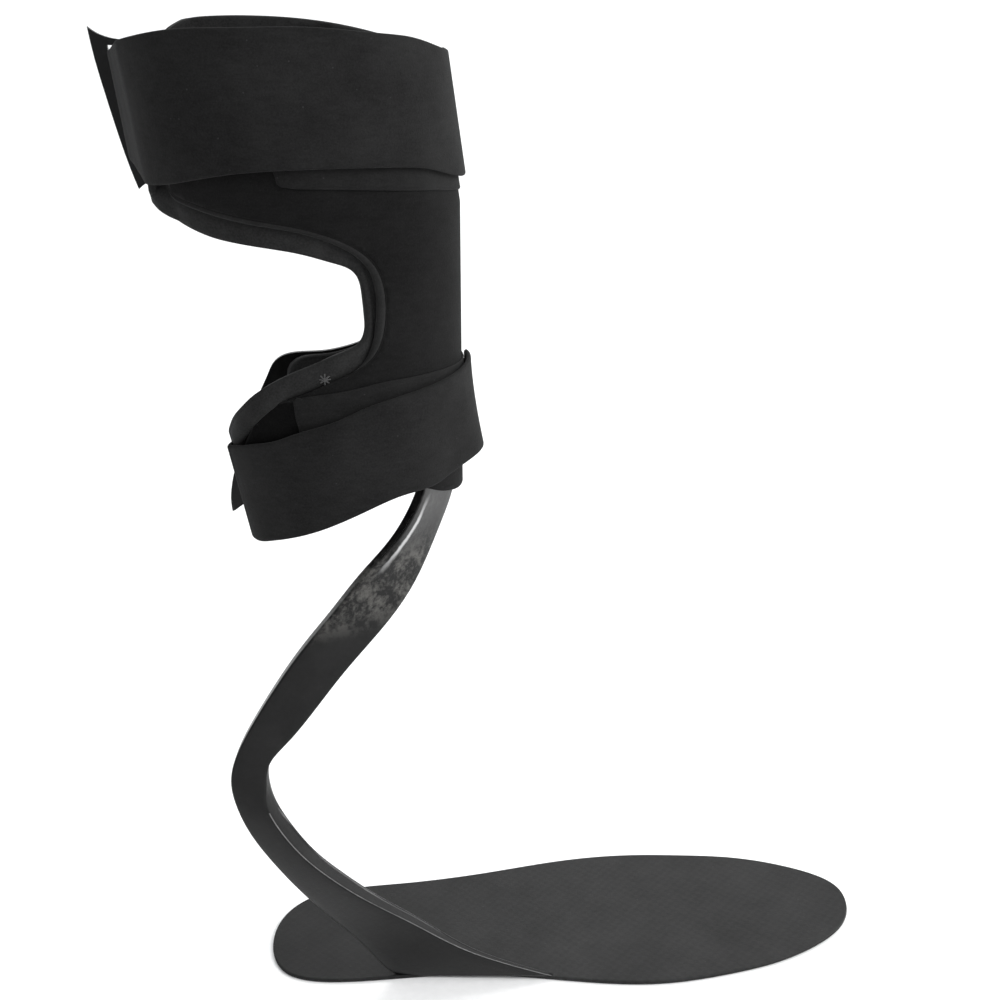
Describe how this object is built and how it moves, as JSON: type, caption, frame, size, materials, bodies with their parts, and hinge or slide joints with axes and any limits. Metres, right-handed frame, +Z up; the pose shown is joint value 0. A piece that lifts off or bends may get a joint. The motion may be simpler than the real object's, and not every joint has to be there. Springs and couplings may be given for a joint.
{
  "type": "ankle foot orthosis",
  "caption": "Carbon ankle foot orthosis with a footplate, an outer strut that bends at the ankle, a lined shin shell and hook-and-loop calf straps.",
  "frame": {"origin": "centre of the heel seat, on the floor plane under the footplate", "axes": "+X points to the toes, +Y to the medial side of a right foot, +Z up along the shin"},
  "size_m": [0.3103, 0.1078, 0.3851],
  "materials": {
    "carbon_footplate": "carbon laminate with a fine matte mottle",
    "carbon_strut": "glossy mottled carbon laminate",
    "carbon_shell": "glossy dark carbon laminate",
    "loop_fabric": "brushed loop fabric",
    "liner_fabric": "foam pad in knitted fabric",
    "strap_webbing": "soft loop-faced strap",
    "hook_tape": "hook tape",
    "stitching": "thread"
  },
  "bodies": {
    "foot": {"footplate": "carbon_footplate", "strut_base": "carbon_strut", "strut_spring": "carbon_strut"},
    "forefoot": {"forefoot_plate": "carbon_footplate"},
    "shin": {"strut_neck": "carbon_strut", "anterior_shell": "carbon_shell", "shell_cover": "loop_fabric", "liner_pad": "liner_fabric", "liner_hook_patches": "hook_tape", "upper_landing_band": "strap_webbing", "lower_landing_band": "strap_webbing", "upper_strap_anchor": "strap_webbing", "lower_strap_anchor": "strap_webbing", "bar_tacks": "stitching"},
    "upper_flap": {"upper_strap_flap": "strap_webbing", "upper_hook_tab": "hook_tape"},
    "lower_flap": {"lower_strap_flap": "strap_webbing", "lower_hook_tab": "hook_tape"}
  },
  "joints": [
    {"name": "ankle_flex", "type": "hinge", "parent": "foot", "child": "shin", "pos_m": [-0.033, -0.044, 0.108], "axis": [0, 1, 0], "range_deg": [-5, 12], "stiffness_Nm_per_rad": 60, "deforming": ["strut_spring"]},
    {"name": "toe_flex", "type": "hinge", "parent": "foot", "child": "forefoot", "pos_m": [0.155, 0, 0.0016], "axis": [0, -1, 0], "range_deg": [0, 20], "stiffness_Nm_per_rad": 6},
    {"name": "upper_strap_open", "type": "hinge", "parent": "shin", "child": "upper_flap", "pos_m": [-0.04827, -0.03405, 0.35727], "axis": [0.1361, 0.0334, -0.9901], "range_deg": [0, 100]},
    {"name": "lower_strap_open", "type": "hinge", "parent": "shin", "child": "lower_flap", "pos_m": [-0.02361, -0.02736, 0.21926], "axis": [0.207, 0.0575, -0.9767], "range_deg": [0, 100]}
  ]
}
